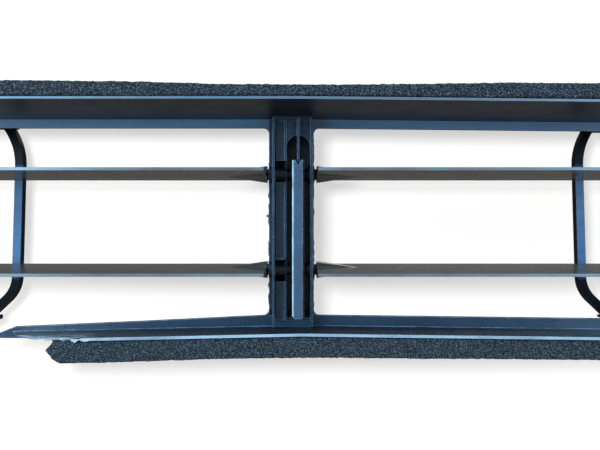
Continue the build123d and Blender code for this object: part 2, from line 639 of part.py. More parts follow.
def actuator_housing():
    """Open case with floor, walls, screw posts, four lugs and a connector shroud below."""
    case = block((CASE_FLOOR[0], CASE_RIM), (-CASE_Y, CASE_Y), CASE_Z)
    inner_z = (CASE_Z[0] + CASE_WALL, CASE_Z[1] - CASE_WALL)
    inner_y = (-CASE_Y + CASE_WALL, CASE_Y - CASE_WALL)
    case -= block((CASE_FLOOR[1], CASE_RIM + 1), inner_y, inner_z)
    for y, z in COVER_SCREWS:
        case += rod_x((CASE_FLOOR[1] - 0.1, CASE_RIM), y, z, 2.6)
        case -= rod_x((CASE_RIM - 12, CASE_RIM + 1), y, z, 1.25)
    for y, z in LUG_SCREWS:
        edge = sorted((y / abs(y) * (CASE_Y - 0.5), y / abs(y) * 30.0))
        case += block((CASE_FLOOR[0] + 0.05, CASE_FLOOR[1] + 1), edge, (z - 5, z + 5))
        case -= rod_x((CASE_FLOOR[0] - 1, CASE_FLOOR[1] + 2), y, z, 1.6)
    case += block((313.0, 331.0), (-9.5, 9.5), (CASE_Z[0] - 14.0, CASE_Z[0] + 0.5))
    case -= block((315.0, 329.0), (-7.5, 7.5), (CASE_Z[0] - 15.0, CASE_Z[0] - 1.0))
    case -= rod_x((CASE_FLOOR[0] - 1, CASE_FLOOR[1] + 1), 0, AXIS_Z, 5.0 + RUNNING_GAP)
    for z in (GEAR_TWO_Z, GEAR_ONE_Z):
        case += rod_x((CASE_FLOOR[1] - 0.1, CASE_FLOOR[1] + 0.3), 0, z, 3.0)
        case -= rod_x((CASE_FLOOR[1] - 1.2, CASE_FLOOR[1] + 1), 0, z, PIN_R + 0.01)
    for y in TERMINAL_Y:
        case -= block((321.3, 322.7), (y - 0.7, y + 0.7), (CASE_Z[0] - 2, CASE_Z[0] + 3))
    return case


TERMINAL_Y = (-4.5, -1.5, 1.5, 4.5)


def connector_terminals():
    """Four square terminals through the case wall into the connector shroud."""
    pins = []
    for y in TERMINAL_Y:
        pins.append(block((321.5, 322.5), (y - 0.5, y + 0.5), (CASE_Z[0] - 10.0, CASE_Z[0] + 4.4)))
    return group(pins)


def actuator_cover():
    """Flat cover with three hollow bosses that hold the outer ends of the shafts."""
    cover = block(COVER_X, (-CASE_Y, CASE_Y), CASE_Z)
    cover += rod_x((310.2, COVER_X[0] + 0.1), 0, AXIS_Z, 4.6)
    cover -= rod_x((309.0, 320.0), 0, AXIS_Z, 3.0 + RUNNING_GAP)
    for z in (GEAR_TWO_Z, GEAR_ONE_Z):
        cover += rod_x((316.2, COVER_X[0] + 0.1), 0, z, 2.8)
        cover -= rod_x((315.0, 320.0), 0, z, PIN_R + 0.01)
    for y, z in COVER_SCREWS:
        cover -= rod_x((COVER_X[0] - 1, COVER_X[1] + 1), y, z, 1.6)
    for z in (-20.0, -10.0, 0.0, 34.0):
        cover += block((COVER_X[1] - 0.1, COVER_X[1] + 0.8), (-12.0, 12.0), (z, z + 1.4))
    return cover


def cover_seal():
    """Flat gasket between the case and its cover."""
    seal = block((CASE_RIM + 0.05, COVER_X[0] - 0.05), (-CASE_Y + 0.2, CASE_Y - 0.2),
                 (CASE_Z[0] + 0.2, CASE_Z[1] - 0.2))
    seal -= block((CASE_RIM - 1, COVER_X[0] + 1), (-CASE_Y + 1.8, CASE_Y - 1.8),
                  (CASE_Z[0] + 1.8, CASE_Z[1] - 1.8))
    return seal


def cover_screws():
    """Four screws that close the actuator."""
    return group([screw_x(COVER_X[1] + 0.05, y, z, 1, 12.0) for y, z in COVER_SCREWS])


def actuator_screws():
    """Four screws that hold the actuator on the right end post."""
    return group([screw_x(CASE_FLOOR[1] + 1.05, y, z, 1, 6.0) for y, z in LUG_SCREWS])


def gear_pins():
    """Steel pins that carry the two compound gears."""
    span = (CASE_FLOOR[1] - 1.15, 319.0)
    return group([rod_x(span, 0, z, PIN_R) for z in (GEAR_TWO_Z, GEAR_ONE_Z)])


def drive_motor():
    """Small motor can with flats and a bearing nose."""
    can = rod_x((317.6, 337.2), 0, MOTOR_Z, MOTOR_R)
    can -= block((316, 339), (6.6, 12), (MOTOR_Z - 12, MOTOR_Z + 12))
    can -= block((316, 339), (-12, -6.6), (MOTOR_Z - 12, MOTOR_Z + 12))
    can += rod_x((316.6, 317.7), 0, MOTOR_Z, 3.0)
    return can - rod_x((316, 326.5), 0, MOTOR_Z, 1.0 + RUNNING_GAP)


def circuit_board():
    """Board across the case, pierced by the cover's bosses."""
    board = block((328.0, 329.6), (-14.5, 14.5), (-4.0, 43.0))
    board -= rod_x((327, 331), 0, AXIS_Z, 5.4)
    board -= rod_x((327, 331), 0, GEAR_TWO_Z, 3.6)
    for y, z in ((-9.0, 14.0), (6.0, 13.0), (-8.5, 35.5), (6.5, 34.5)):
        board += block((326.0, 328.1), (y, y + 4.5), (z, z + 4.5))
    return board


# ---------------------------------------------------------------- files
NODES = {
    "top_rail": top_rail,
    "bottom_rail": bottom_rail,
    "centre_post": centre_post,
    "post_screws": post_screws,
    "end_post_left": lambda: end_post(-1),
    "end_post_right": lambda: end_post(1),
    "end_screws": end_screws,
    "limiter_sleeves": limiter_sleeves,
    "vane_bushes": vane_bushes,
    "support_bow_left": lambda: support_bow(-1),
    "support_bow_right": lambda: support_bow(1),
    "bow_screws": bow_screws,
    "foam_seal_top": foam_seal_top,
    "foam_seal_bottom": foam_seal_bottom,
    "vane_upper_left": lambda: vane(-1, AXIS_Z, False),
    "vane_upper_right": lambda: vane(1, AXIS_Z, True),
    "vane_lower_left": lambda: vane(-1, -AXIS_Z, False),
    "vane_lower_right": lambda: vane(1, -AXIS_Z, False),
    "crank_shaft_upper": lambda: crank_shaft(AXIS_Z),
    "crank_shaft_lower": lambda: crank_shaft(-AXIS_Z),
    "link_bar": link_bar,
    "output_gear": output_gear,
    "compound_gear_two": compound_gear_two,
    "compound_gear_one": compound_gear_one,
    "motor_pinion": motor_pinion,
    "drive_motor": drive_motor,
    "gear_pins": gear_pins,
    "circuit_board": circuit_board,
    "connector_terminals": connector_terminals,
    "actuator_housing": actuator_housing,
    "actuator_cover": actuator_cover,
    "cover_seal": cover_seal,
    "cover_screws": cover_screws,
    "actuator_screws": actuator_screws,
}


def write_parts():
    """Write each node with the origin at the centre of the mounting holes' rear face."""
    os.makedirs("parts", exist_ok=True)
    for name, make in NODES.items():
        shape = Pos(0, -MOUNT_FACE_Y, 0) * make()
        export_step(shape, f"parts/{name}.step")


write_parts()
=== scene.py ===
"""Looks of the radiator air shutter: foam strips, moulded plastic finishes, camera and studio."""
import json
import logging
import math
from dataclasses import dataclass
from enum import Enum

import bmesh
import bpy
import numpy as np
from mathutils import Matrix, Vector

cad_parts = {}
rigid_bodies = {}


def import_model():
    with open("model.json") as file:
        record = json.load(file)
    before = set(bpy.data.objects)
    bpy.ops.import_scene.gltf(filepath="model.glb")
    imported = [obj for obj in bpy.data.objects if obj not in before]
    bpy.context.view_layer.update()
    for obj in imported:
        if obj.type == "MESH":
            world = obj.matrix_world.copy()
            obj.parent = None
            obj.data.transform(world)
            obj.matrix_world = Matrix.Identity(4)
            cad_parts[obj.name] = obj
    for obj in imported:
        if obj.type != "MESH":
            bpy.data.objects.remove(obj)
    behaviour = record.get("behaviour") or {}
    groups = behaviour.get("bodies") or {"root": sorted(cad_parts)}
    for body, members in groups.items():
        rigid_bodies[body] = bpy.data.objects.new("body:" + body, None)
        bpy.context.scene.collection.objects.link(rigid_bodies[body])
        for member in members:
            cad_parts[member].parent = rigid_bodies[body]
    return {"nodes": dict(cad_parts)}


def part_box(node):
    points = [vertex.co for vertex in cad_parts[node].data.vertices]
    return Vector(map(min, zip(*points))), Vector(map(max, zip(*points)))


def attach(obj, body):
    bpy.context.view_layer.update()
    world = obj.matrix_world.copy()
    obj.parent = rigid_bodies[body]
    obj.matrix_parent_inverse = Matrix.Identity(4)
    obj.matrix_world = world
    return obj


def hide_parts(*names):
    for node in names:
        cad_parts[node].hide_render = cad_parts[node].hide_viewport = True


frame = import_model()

logging.basicConfig(level=logging.INFO, format="%(message)s")
log = logging.getLogger("shutter")

MM = 0.001
AXIS_DEPTH = -39.0 * MM      # plane of the vane axes; the mounting face behind it lies at zero
TOP_FALL_RIGHT = math.tan(math.radians(0.6))       # slopes by which the halves of a rail lean down
BOTTOM_FALL_LEFT = math.tan(math.radians(1.2))
BOTTOM_FALL_RIGHT = math.tan(math.radians(0.7))
Colour = tuple[float, float, float]
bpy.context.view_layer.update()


class Way(Enum):
    """Direction in which a foam strip stands off its rail."""

    TOP = 1
    BOTTOM = -1


# ---------------------------------------------------------------- noise and grids
def lattice(cells: np.ndarray, seed: int) -> np.ndarray:
    """Pseudo-random number between -1 and 1 for each whole-number cell.

    The three indices are mixed with large odd factors and the low bits are kept.

    Args:
        cells: whole numbers, one row of three for each cell.
        seed: changes the pattern.

    Returns:
        One number for each row.
    """
    mixed = cells[:, 0] * 73856093 ^ cells[:, 1] * 19349663 ^ cells[:, 2] * 83492791 ^ seed * 2654435
    mixed = (mixed ^ (mixed >> 13)) * 1274126177
    return ((mixed ^ (mixed >> 16)) & 0xFFFF) / 32767.5 - 1.0


def smooth_noise(points: np.ndarray, size: float, seed: int) -> np.ndarray:
    """Value noise: lattice numbers blended with a smooth step in each of three directions.

    Args:
        points: places in metres, one row each.
        size: size of one cell in metres.
        seed: changes the pattern.

    Returns:
        Noise between -1 and 1 for each place.
    """
    scaled = points / size
    base = np.floor(scaled).astype(np.int64)
    part = scaled - base
    part = part * part * (3.0 - 2.0 * part)
    total = np.zeros(len(points))
    for corner in range(8):
        step = np.array([corner & 1, corner >> 1 & 1, corner >> 2 & 1])
        weight = np.prod(np.where(step == 1, part, 1.0 - part), axis=1)
        total += weight * lattice(base + step, seed)
    return total


def layered_noise(points: np.ndarray, size: float, layers: int, seed: int) -> np.ndarray:
    """Sum of smooth noises, each at half the size and half the height of the one before.

    Args:
        points: places in metres, one row each.
        size: cell size of the first layer in metres.
        layers: number of layers.
        seed: changes the pattern.

    Returns:
        Noise for each place, mostly between -1 and 1.
    """
    total = np.zeros(len(points))
    for layer in range(layers):
        total += smooth_noise(points, size / 2**layer, seed + layer) / 2**layer
    return total


def grid_faces(rows: int, columns: int, closed: bool) -> np.ndarray:
    """Quads between neighbouring rows of a grid.

    Args:
        rows: number of rings or rows.
        columns: points in each row.
        closed: whether the last column joins the first.

    Returns:
        Four corner indices for each quad.
    """
    reach = columns if closed else columns - 1
    first = np.arange(rows - 1)[:, None] * columns
    here = np.arange(reach)[None, :]
    beside = (here + 1) % columns
    above = first + columns
    quads = np.stack([first + here, first + beside, above + beside, above + here], axis=-1)
    return quads.reshape(-1, 4)


def make_object(name: str, points: np.ndarray, faces: list, smooth: bool = True) -> bpy.types.Object:
    """Mesh object at the origin.

    Args:
        name: name of the object.
        points: one row of three for each point, in metres.
        faces: point indices of each face.
        smooth: whether its shading is smooth.

    Returns:
        The new object.
    """
    mesh = bpy.data.meshes.new(name)
    mesh.from_pydata(points.tolist(), [], faces)
    mesh.validate()
    mesh.polygons.foreach_set("use_smooth", [smooth] * len(mesh.polygons))
    mesh.update()
    piece = bpy.data.objects.new(name, mesh)
    bpy.context.scene.collection.objects.link(piece)
    return piece


def turn_outwards(piece: bpy.types.Object) -> None:
    """Recalculate the normals of a closed mesh.

    Args:
        piece: object whose mesh is closed.
    """
    work = bmesh.new()
    work.from_mesh(piece.data)
    bmesh.ops.recalc_face_normals(work, faces=work.faces)
    work.to_mesh(piece.data)
    work.free()


def closed_tube(name: str, rings: np.ndarray, material: bpy.types.Material,
                smooth: bool = True) -> bpy.types.Object:
    """Closed skin through a stack of rings; each end is closed by one many-sided face.

    Args:
        name: name of the piece.
        rings: array of rings by points by three.
        material: its finish.
        smooth: whether its shading is smooth.

    Returns:
        The new object.
    """
    count, around = rings.shape[:2]
    faces = grid_faces(count, around, True).tolist()
    faces.append(list(range(around))[::-1])
    faces.append([(count - 1) * around + k for k in range(around)])
    piece = make_object(name, rings.reshape(-1, 3), faces, smooth)
    piece.data.materials.append(material)
    turn_outwards(piece)
    log.info("%s: %d faces", name, len(piece.data.polygons))
    return piece


# ---------------------------------------------------------------- material sheets
class Sheet:
    """Node tree of one material, with short methods for the nodes that the finishes share."""

    def __init__(self, name: str) -> None:
        """Start an empty material with an output and one principled shader.

        Args:
            name: name of the material.
        """
        self.material = bpy.data.materials.new(name)
        self.material.use_nodes = True
        self.tree = self.material.node_tree
        self.tree.nodes.clear()
        self.output = self.tree.nodes.new("ShaderNodeOutputMaterial")
        self.shader = self.tree.nodes.new("ShaderNodeBsdfPrincipled")
        self.join(self.shader.outputs["BSDF"], self.output.inputs["Surface"])
        self.place = self.tree.nodes.new("ShaderNodeTexCoord").outputs["Object"]

    def join(self, start: bpy.types.NodeSocket, end: bpy.types.NodeSocket) -> None:
        """Link one socket to another."""
        self.tree.links.new(start, end)

    def stretched(self, scale: Colour) -> bpy.types.NodeSocket:
        """Object coordinates scaled by a factor on each axis.

        Args:
            scale: the three factors.

        Returns:
            Vector socket.
        """
        node = self.tree.nodes.new("ShaderNodeMapping")
        node.inputs["Scale"].default_value = scale
        self.join(self.place, node.inputs["Vector"])
        return node.outputs["Vector"]

    def noise(self, scale: float, detail: float = 3.0, rough: float = 0.55,
              place: bpy.types.NodeSocket | None = None) -> bpy.types.NodeSocket:
        """Cloudy noise.

        Args:
            scale: cells for each metre.
            detail: number of finer layers.
            rough: how strong each finer layer is.
            place: coordinates to use in place of the object's own.

        Returns:
            Value socket between 0 and 1.
        """
        node = self.tree.nodes.new("ShaderNodeTexNoise")
        node.inputs["Scale"].default_value = scale
        node.inputs["Detail"].default_value = detail
        node.inputs["Roughness"].default_value = rough
        self.join(place or self.place, node.inputs["Vector"])
        return node.outputs["Fac"]

    def cells(self, scale: float) -> bpy.types.NodeSocket:
        """Distance to the nearest cell centre.

        Args:
            scale: cells for each metre.

        Returns:
            Value socket.
        """
        node = self.tree.nodes.new("ShaderNodeTexVoronoi")
        node.inputs["Scale"].default_value = scale
        self.join(self.place, node.inputs["Vector"])
        return node.outputs["Distance"]

    def remap(self, value: bpy.types.NodeSocket, low: float, high: float,
              start: float = 0.0, end: float = 1.0) -> bpy.types.NodeSocket:
        """Map one span onto another, held at its ends.

        Args:
            value: socket to map.
            low: value that becomes start.
            high: value that becomes end.
            start: result at low.
            end: result at high.

        Returns:
            Value socket.
        """
        node = self.tree.nodes.new("ShaderNodeMapRange")
        node.clamp = True
        for socket, number in zip(("From Min", "From Max", "To Min", "To Max"), (low, high, start, end)):
            node.inputs[socket].default_value = number
        self.join(value, node.inputs["Value"])
        return node.outputs["Result"]

    def maths(self, how: str, first: bpy.types.NodeSocket,
              second: bpy.types.NodeSocket | float) -> bpy.types.NodeSocket:
        """Combine a socket with another socket or a number.

        Args:
            how: operation of the maths node.
            first: first operand.
            second: second operand.

        Returns:
            Value socket.
        """
        node = self.tree.nodes.new("ShaderNodeMath")
        node.operation = how
        self.join(first, node.inputs[0])
        if isinstance(second, float):
            node.inputs[1].default_value = second
        else:
            self.join(second, node.inputs[1])
        return node.outputs[0]

    def blend(self, amount: bpy.types.NodeSocket, first: Colour | bpy.types.NodeSocket,
              second: Colour | bpy.types.NodeSocket) -> bpy.types.NodeSocket:
        """Mix two colours.

        Args:
            amount: socket, 0 for the first colour and 1 for the second.
            first: colour or colour socket.
            second: colour or colour socket.

        Returns:
            Colour socket.
        """
        node = self.tree.nodes.new("ShaderNodeMix")
        node.data_type = "RGBA"
        self.join(amount, node.inputs[0])
        for index, colour in ((6, first), (7, second)):
            if isinstance(colour, tuple):
                node.inputs[index].default_value = (*colour, 1.0)
            else:
                self.join(colour, node.inputs[index])
        return node.outputs[2]

    def axis(self, letter: str) -> bpy.types.NodeSocket:
        """One object coordinate.

        Args:
            letter: "X", "Y" or "Z".

        Returns:
            Value socket in metres.
        """
        node = self.tree.nodes.new("ShaderNodeSeparateXYZ")
        self.join(self.place, node.inputs[0])
        return node.outputs[letter]

    def facing(self, letter: str) -> bpy.types.NodeSocket:
        """One component of the surface normal.

        Args:
            letter: "X", "Y" or "Z".

        Returns:
            Value socket between -1 and 1.
        """
        geometry = self.tree.nodes.new("ShaderNodeNewGeometry")
        node = self.tree.nodes.new("ShaderNodeSeparateXYZ")
        self.join(geometry.outputs["Normal"], node.inputs[0])
        return node.outputs[letter]

    def rounding(self, radius: float) -> bpy.types.NodeSocket:
        """Normals rounded over each edge.

        Args:
            radius: radius in metres.

        Returns:
            Vector socket.
        """
        node = self.tree.nodes.new("ShaderNodeBevel")
        node.samples = 4
        node.inputs["Radius"].default_value = radius
        return node.outputs["Normal"]

    def edges(self, radius: float) -> bpy.types.NodeSocket:
        """Mask of the edges, from how far the rounded normal leans.

        Args:
            radius: radius in metres.

        Returns:
            Value socket, 1 along edges and 0 on flat faces.
        """
        geometry = self.tree.nodes.new("ShaderNodeNewGeometry")
        node = self.tree.nodes.new("ShaderNodeVectorMath")
        node.operation = "DOT_PRODUCT"
        self.join(self.rounding(radius), node.inputs[0])
        self.join(geometry.outputs["Normal"], node.inputs[1])
        return self.remap(node.outputs["Value"], 0.99, 0.75)

    def bump(self, height: bpy.types.NodeSocket, distance: float, strength: float,
             normal: bpy.types.NodeSocket | None = None) -> bpy.types.NodeSocket:
        """Normal raised by a height pattern.

        Args:
            height: pattern socket.
            distance: height of the relief in metres.
            strength: how much of it shows.
            normal: normal to start from.

        Returns:
            Vector socket.
        """
        node = self.tree.nodes.new("ShaderNodeBump")
        node.inputs["Distance"].default_value = distance
        node.inputs["Strength"].default_value = strength
        self.join(height, node.inputs["Height"])
        if normal is not None:
            self.join(normal, node.inputs["Normal"])
        return node.outputs["Normal"]

    def finish(self, colour: bpy.types.NodeSocket | Colour, rough: bpy.types.NodeSocket | float,
               normal: bpy.types.NodeSocket | None = None, metal: float = 0.0,
               specular: float = 0.5) -> bpy.types.Material:
        """Wire the shader's main sockets.

        Args:
            colour: base colour or its socket.
            rough: roughness or its socket.
            normal: normal socket.
            metal: metallic value.
            specular: specular level.

        Returns:
            The finished material.
        """
        for socket, value in (("Base Color", colour), ("Roughness", rough)):
            if isinstance(value, tuple):
                self.shader.inputs[socket].default_value = (*value, 1.0)
            elif isinstance(value, float):
                self.shader.inputs[socket].default_value = value
            else:
                self.join(value, self.shader.inputs[socket])
        if normal is not None:
            self.join(normal, self.shader.inputs["Normal"])
        self.shader.inputs["Metallic"].default_value = metal
        self.shader.inputs["Specular IOR Level"].default_value = specular
        return self.material


# ---------------------------------------------------------------- finishes
@dataclass(frozen=True)
class MouldedPlastic:
    """Black moulded plastic with fine grain, flow streaks and dust; its edges are rubbed pale, partly as
    wear and partly as painted highlight; where given, front faces get a painted blue sheen and the front
    lip a painted highlight.
    """

    name: str
    base: Colour
    pale: Colour
    dust: Colour
    dust_amount: float = 0.35
    rough: tuple[float, float] = (0.34, 0.55)
    # pale colour on the edges and how much of it: partly real wear, partly a painted edge highlight
    wear_and_highlight: Colour = (0.20, 0.25, 0.30)
    wear_and_highlight_amount: float = 0.5
    grain: float = 0.25
    edge: float = 0.35 * MM
    specular: float = 0.5
    # colour and height of a painted blue sheen (painted reflection) on the front-facing faces, in patches
    painted_sheen: Colour | None = None
    sheen_height: float = 1.0
    # colour of a painted highlight along the faces in front of lip_depth
    lip: Colour | None = None
    lip_depth: float = 0.0

    def build(self) -> bpy.types.Material:
        """Make the material: cloudy, streaked along X, dusty in patches, rubbed pale on its edges as wear
        and painted highlight, with the painted blue sheen and the painted lip highlight where given.

        Returns:
            The material.
        """
        sheet = Sheet(self.name)
        cloud = sheet.remap(sheet.noise(38.0, 4.0), 0.35, 0.68)
        streak = sheet.remap(sheet.noise(9.0, 5.0, 0.65, sheet.stretched((1.6, 55.0, 55.0))), 0.42, 0.72)
        colour = sheet.blend(sheet.maths("MULTIPLY", cloud, 0.7), self.base, self.pale)
        colour = sheet.blend(sheet.maths("MULTIPLY", streak, 0.45), colour, self.pale)
        # painted blue sheen: front-facing faces near the middle height are tinted blue in patches, standing
        # in for a reflection
        if self.painted_sheen:
            front = sheet.remap(sheet.facing("Y"), -0.70, -0.98)
            height = sheet.maths("ABSOLUTE", sheet.axis("Z"), 0.0)
            near = sheet.remap(height, self.sheen_height, self.sheen_height + 4 * MM, 1.0, 0.0)
            sheen_patches = sheet.noise(24.0, 5.0, 0.6, sheet.stretched((0.4, 3.0, 3.0)))
            sheen_patches = sheet.remap(sheen_patches, 0.3, 0.7, 0.6, 1.0)
            amount = sheet.maths("MULTIPLY", sheet.maths("MULTIPLY", front, near), sheen_patches)
            colour = sheet.blend(amount, colour, self.painted_sheen)
        # painted highlight along the front lip, broken up by noise
        if self.lip:
            front = sheet.remap(sheet.axis("Y"), self.lip_depth + 0.30 * MM, self.lip_depth + 0.05 * MM)
            highlight_patches = sheet.noise(90.0, 5.0, 0.6, sheet.stretched((0.25, 1.0, 1.0)))
            highlight_patches = sheet.remap(highlight_patches, 0.32, 0.6, 0.35, 1.0)
            colour = sheet.blend(sheet.maths("MULTIPLY", front, highlight_patches), colour, self.lip)
        colour = self.tint(sheet, colour)
        speck = sheet.remap(sheet.noise(900.0, 2.0, 0.7), 0.56, 0.70)
        patch = sheet.remap(sheet.noise(70.0, 5.0, 0.62), 0.45, 0.72)
        dust = sheet.maths("MULTIPLY", sheet.maths("ADD", sheet.maths("MULTIPLY", patch, 0.6), speck),
                           self.dust_amount)
        colour = sheet.blend(dust, colour, self.dust)
        # edges rubbed pale: partly real wear, partly a painted edge highlight
        edge_wear_and_highlight = sheet.maths("MULTIPLY", sheet.edges(self.edge * 1.6),
                          sheet.remap(sheet.noise(160.0, 4.0), 0.34, 0.62, 0.25, 1.0))
        colour = sheet.blend(sheet.maths("MULTIPLY", edge_wear_and_highlight, self.wear_and_highlight_amount), colour, self.wear_and_highlight)
        scratch = sheet.noise(60.0, 2.0, 0.5, sheet.stretched((0.6, 40.0, 40.0)))
        rough = sheet.remap(sheet.maths("ADD", sheet.noise(110.0, 3.0), dust), 0.3, 1.2, *self.rough)
        normal = sheet.bump(sheet.noise(2600.0, 2.0), 0.05 * MM, self.grain, sheet.rounding(self.edge))
        normal = sheet.bump(scratch, 0.05 * MM, 0.25, normal)
        return sheet.finish(colour, rough, normal, specular=self.specular)

    def tint(self, sheet: Sheet, colour: bpy.types.NodeSocket) -> bpy.types.NodeSocket:
        """Colour changes of one kind of piece; plain plastic has none."""
        return colour


@dataclass(frozen=True)
class TornPlastic(MouldedPlastic):
    """Moulded plastic that is stress-whitened where its front lip is torn."""

    white: Colour = (0.42, 0.46, 0.48)
    start: float = -160.0 * MM
    stop: float = -106.0 * MM
    depth: float = AXIS_DEPTH - 16.0 * MM

    def tint(self, sheet: Sheet, colour: bpy.types.NodeSocket) -> bpy.types.NodeSocket:
        """Add pale torn patches between two places along X, in front of a depth.

        Args:
            sheet: node tree of the material.
            colour: colour so far.

        Returns:
            Colour socket with the patches.
        """
        along = sheet.axis("X")
        near = sheet.maths("MULTIPLY", sheet.remap(along, self.start, self.start + 6 * MM),
                           sheet.remap(along, self.stop, self.stop - 10 * MM))
        front = sheet.remap(sheet.axis("Y"), self.depth + 7 * MM, self.depth - 2 * MM)
        ragged = sheet.remap(sheet.noise(230.0, 5.0, 0.7, sheet.stretched((0.5, 1.5, 2.0))), 0.42, 0.56)
        mask = sheet.maths("MULTIPLY", sheet.maths("MULTIPLY", near, front), ragged)
        return sheet.blend(mask, colour, self.white)


@dataclass(frozen=True)
class BarPlastic(MouldedPlastic):
    """Plastic of the link bar: a painted highlight along its left edge and painted shade towards its right
    side.
    """

    # colour and place of the painted highlight, and where the painted shade begins
    painted_highlight: Colour = (0.52, 0.70, 0.74)
    highlight_edge: float = -3.35 * MM
    shade_side: float = 1.1 * MM

    def tint(self, sheet: Sheet, colour: bpy.types.NodeSocket) -> bpy.types.NodeSocket:
        """Add the painted highlight on the left edge and the painted shade on the right side.

        Args:
            sheet: node tree of the material.
            colour: colour so far.

        Returns:
            Colour socket with both.
        """
        across = sheet.axis("X")
        highlight_patches = sheet.noise(120.0, 4.0, 0.6, sheet.stretched((0.3, 0.3, 1.0)))
        highlight_patches = sheet.remap(highlight_patches, 0.3, 0.55, 0.45, 1.0)
        # painted highlight along the left edge, broken up by noise
        edge = sheet.remap(across, self.highlight_edge, self.highlight_edge - 0.35 * MM)
        colour = sheet.blend(sheet.maths("MULTIPLY", edge, highlight_patches), colour, self.painted_highlight)
        # painted shade: darker towards the right side
        side = sheet.remap(across, self.shade_side, self.shade_side + 0.5 * MM, 0.0, 0.85)
        return sheet.blend(side, colour, self.base)


@dataclass(frozen=True)
class OpenFoam:
    """Open-cell foam: dark pores between blue-grey walls, with a few pale flecks."""

    name: str
    pore: Colour = (0.005, 0.009, 0.013)
    wall: Colour = (0.064, 0.075, 0.082)
    fleck: Colour = (0.19, 0.22, 0.235)

    def build(self) -> bpy.types.Material:
        """Make the material from two sizes of cells with cloudy noise over them.

        Returns:
            The material.
        """
        sheet = Sheet(self.name)
        level = sheet.remap(sheet.noise(1000.0, 3.0, 0.7), 0.43, 0.62)
        colour = sheet.blend(level, self.pore, self.wall)
        soft = sheet.remap(sheet.noise(60.0, 3.0), 0.3, 0.7, 0.0, 0.35)
        colour = sheet.blend(soft, colour, self.pore)
        dots = sheet.remap(sheet.cells(1350.0), 0.46, 0.20)
        flecks = sheet.maths("MULTIPLY", dots, sheet.remap(sheet.noise(700.0, 2.0), 0.38, 0.58, 0.15, 0.9))
        colour = sheet.blend(flecks, colour, self.fleck)
        normal = sheet.bump(level, 0.5 * MM, 0.9)
        return sheet.finish(colour, 0.95, normal, specular=0.2)


@dataclass(frozen=True)
class BareMetal:
    """Turned or plated metal with fine lines and dull patches."""

    name: str
    base: Colour
    dull: Colour
    rough: tuple[float, float] = (0.25, 0.5)

    def build(self) -> bpy.types.Material:
        """Make the material from patchy colour and fine turned lines.

        Returns:
            The material.
        """
        sheet = Sheet(self.name)
        patch = sheet.remap(sheet.noise(420.0, 4.0, 0.6), 0.38, 0.66)
        lines = sheet.noise(300.0, 2.0, 0.5, sheet.stretched((12.0, 1.0, 1.0)))
        colour = sheet.blend(patch, self.base, self.dull)
        normal = sheet.bump(lines, 0.03 * MM, 0.3, sheet.rounding(0.15 * MM))
        return sheet.finish(colour, sheet.remap(patch, 0.0, 1.0, *self.rough), normal, metal=1.0)


@dataclass(frozen=True)
class PaleResin:
    """Natural gear plastic: milky, slightly waxy, with faint flow marks."""

    name: str
    base: Colour = (0.62, 0.59, 0.52)
    shade: Colour = (0.50, 0.46, 0.38)

    def build(self) -> bpy.types.Material:
        """Make the material from faint flow marks and a soft bump.

        Returns:
            The material.
        """
        sheet = Sheet(self.name)
        flow = sheet.remap(sheet.noise(150.0, 4.0), 0.35, 0.7)
        colour = sheet.blend(flow, self.base, self.shade)
        normal = sheet.bump(sheet.noise(1800.0, 2.0), 0.03 * MM, 0.3, sheet.rounding(0.12 * MM))
        return sheet.finish(colour, sheet.remap(flow, 0.0, 1.0, 0.32, 0.46), normal)


@dataclass(frozen=True)
class BoardMask:
    """Green solder mask with faint track relief."""

    name: str
    base: Colour = (0.012, 0.11, 0.045)
    track: Colour = (0.03, 0.20, 0.08)

    def build(self) -> bpy.types.Material:
        """Make the material from stepped noise that reads as tracks under the mask.

        Returns:
            The material.
        """
        sheet = Sheet(self.name)
        tracks = sheet.remap(sheet.noise(260.0, 0.0), 0.49, 0.51)
        colour = sheet.blend(tracks, self.base, self.track)
        normal = sheet.bump(tracks, 0.05 * MM, 0.5)
        return sheet.finish(colour, sheet.remap(tracks, 0.0, 1.0, 0.3, 0.42), normal)


@dataclass(frozen=True)
class StudioWhite:
    """White sheet with a little glow; an upright one is seen from its front side only.

    An upright sheet gets paler away from its middle, by a power of the distance over reach,
    which makes up for the light that falls off there.
    """

    name: str
    upright: bool
    glow: Colour
    base: Colour = (0.72, 0.71, 0.70)
    reach: float = 0.36
    growth: float = 1.6
    middle: float = 0.32

    def build(self) -> bpy.types.Material:
        """Make the material.

        Returns:
            The material.
        """
        sheet = Sheet(self.name)
        grain = sheet.remap(sheet.noise(5.0, 2.0), 0.0, 1.0, 0.90, 0.93)
        sheet.join(grain, sheet.shader.inputs["Roughness"])
        sheet.shader.inputs["Specular IOR Level"].default_value = 0.0
        sheet.shader.inputs["Base Color"].default_value = (*self.base, 1.0)
        sheet.shader.inputs["Emission Color"].default_value = (*self.glow, 1.0)
        sheet.shader.inputs["Emission Strength"].default_value = 1.0
        if self.upright:
            across, up = sheet.axis("X"), sheet.axis("Z")
            across = sheet.maths("MULTIPLY", across, across)
            square = sheet.maths("ADD", across, sheet.maths("MULTIPLY", up, up))
            spread = sheet.maths("ADD", sheet.maths("MULTIPLY", square, 1.0 / self.reach ** 2), 1.0)
            level = sheet.maths("MULTIPLY", sheet.maths("POWER", spread, self.growth), self.middle)
            colour = sheet.blend(sheet.maths("MINIMUM", level, 1.0), (0.0, 0.0, 0.0), (1.0, 1.0, 1.0))
            sheet.join(colour, sheet.shader.inputs["Base Color"])
            nodes = sheet.tree.nodes
            clear = nodes.new("ShaderNodeBsdfTransparent")
            side = nodes.new("ShaderNodeNewGeometry")
            mix = nodes.new("ShaderNodeMixShader")
            sheet.join(side.outputs["Backfacing"], mix.inputs[0])
            sheet.join(sheet.shader.outputs["BSDF"], mix.inputs[1])
            sheet.join(clear.outputs[0], mix.inputs[2])
            sheet.join(mix.outputs[0], sheet.output.inputs["Surface"])
        return sheet.material


